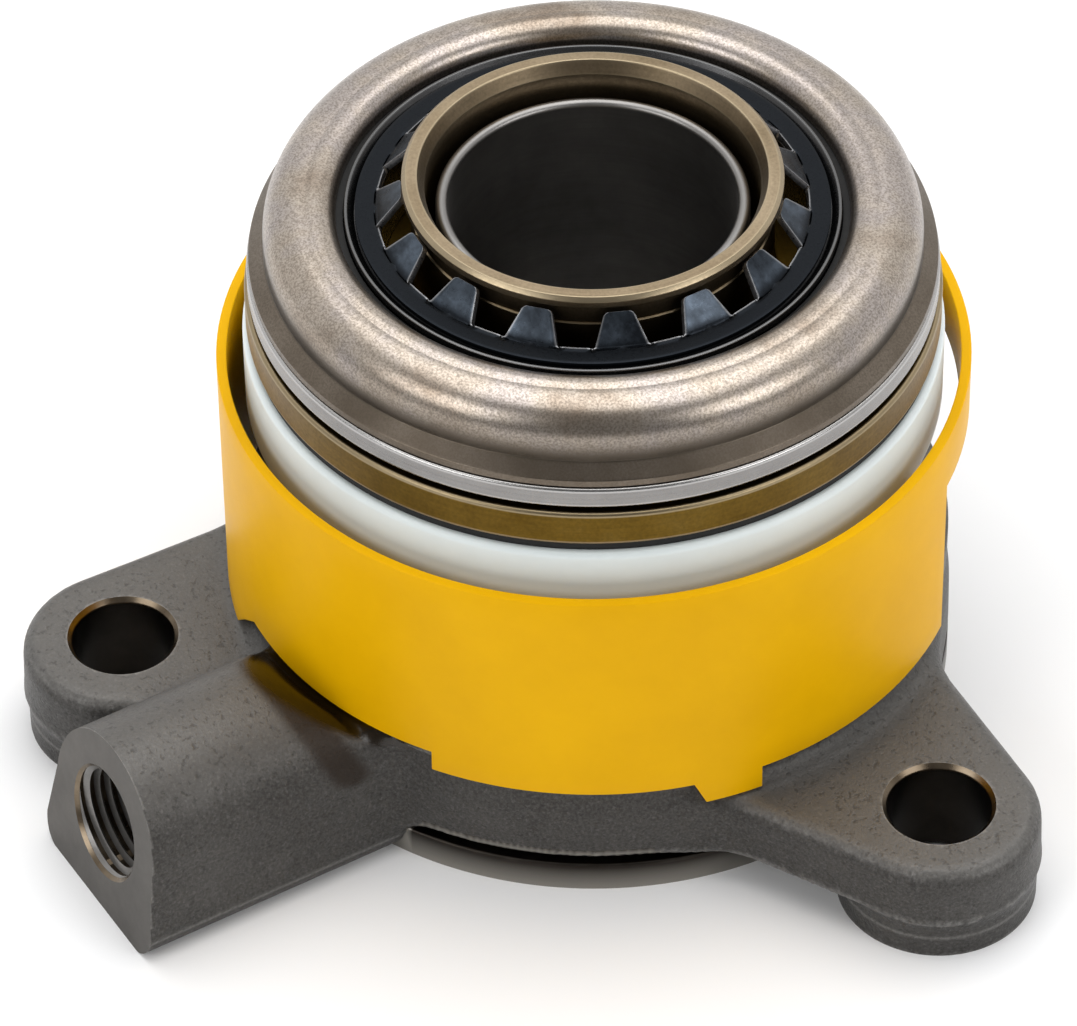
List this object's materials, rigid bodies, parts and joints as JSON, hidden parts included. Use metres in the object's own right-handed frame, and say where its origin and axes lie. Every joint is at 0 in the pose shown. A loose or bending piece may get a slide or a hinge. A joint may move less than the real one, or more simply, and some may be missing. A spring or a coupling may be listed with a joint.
{
  "type": "concentric slave cylinder",
  "caption": "Ring-shaped hydraulic clutch release cylinder on a lugged cast base, with a guide tube, preload spring, yellow guard and release bearing.",
  "frame": {"origin": "on the bore axis, in the mounting face under the lugs and the spigot", "axes": "+Z along the bore towards the release bearing, -Y along the hydraulic port, pointing out of its mouth"},
  "size_m": [0.0885, 0.0948, 0.0547],
  "materials": {
    "cast_aluminium": "dark shot-blasted casting",
    "tube_steel": "drawn steel",
    "seal_rubber": "matt black",
    "spring_steel": "oiled wire",
    "guard_plastic": "glossy yellow",
    "piston_alloy": "turned",
    "support_plastic": "natural",
    "cup_plastic": "satin white",
    "yellow_zinc": "yellow passivated zinc",
    "blued_steel": "blued spring steel",
    "race_steel": "ground",
    "pressed_steel": "satin, heat tinted",
    "cage_plastic": "moulded",
    "ball_steel": "polished"
  },
  "bodies": {
    "base": {"housing": "cast_aluminium", "guide_tube": "tube_steel", "tube_o_ring": "seal_rubber", "stop_ring": "spring_steel", "guard_sleeve": "guard_plastic", "preload_spring": "spring_steel"},
    "release_piston": {"piston": "piston_alloy", "piston_seal": "seal_rubber", "seal_support_ring": "support_plastic", "spring_cup": "cup_plastic", "isolator_ring": "seal_rubber", "bearing_carrier": "yellow_zinc", "retaining_clip": "blued_steel", "inner_race": "race_steel"},
    "bearing_ring": {"contact_ring": "pressed_steel", "outer_race": "race_steel", "front_seal": "seal_rubber", "rear_seal": "seal_rubber"},
    "ball_set": {"ball_cage": "cage_plastic", "balls": "ball_steel"}
  },
  "joints": [
    {"name": "piston_stroke", "type": "slide", "parent": "base", "child": "release_piston", "axis": [0, 0, 1], "range_m": [-0.01, 0], "stiffness_N_per_m": 2000, "springref_m": 0.03, "deforming": ["preload_spring"]},
    {"name": "bearing_spin", "type": "hinge", "parent": "release_piston", "child": "bearing_ring", "pos_m": [0, 0, 0.0467], "axis": [0, 0, 1], "continuous": true},
    {"name": "cage_spin", "type": "hinge", "parent": "release_piston", "child": "ball_set", "pos_m": [0, 0, 0.0467], "axis": [0, 0, 1], "continuous": true}
  ],
  "couplings": [
    {"joint": "cage_spin", "follows": "bearing_spin", "ratio": 0.54}
  ]
}
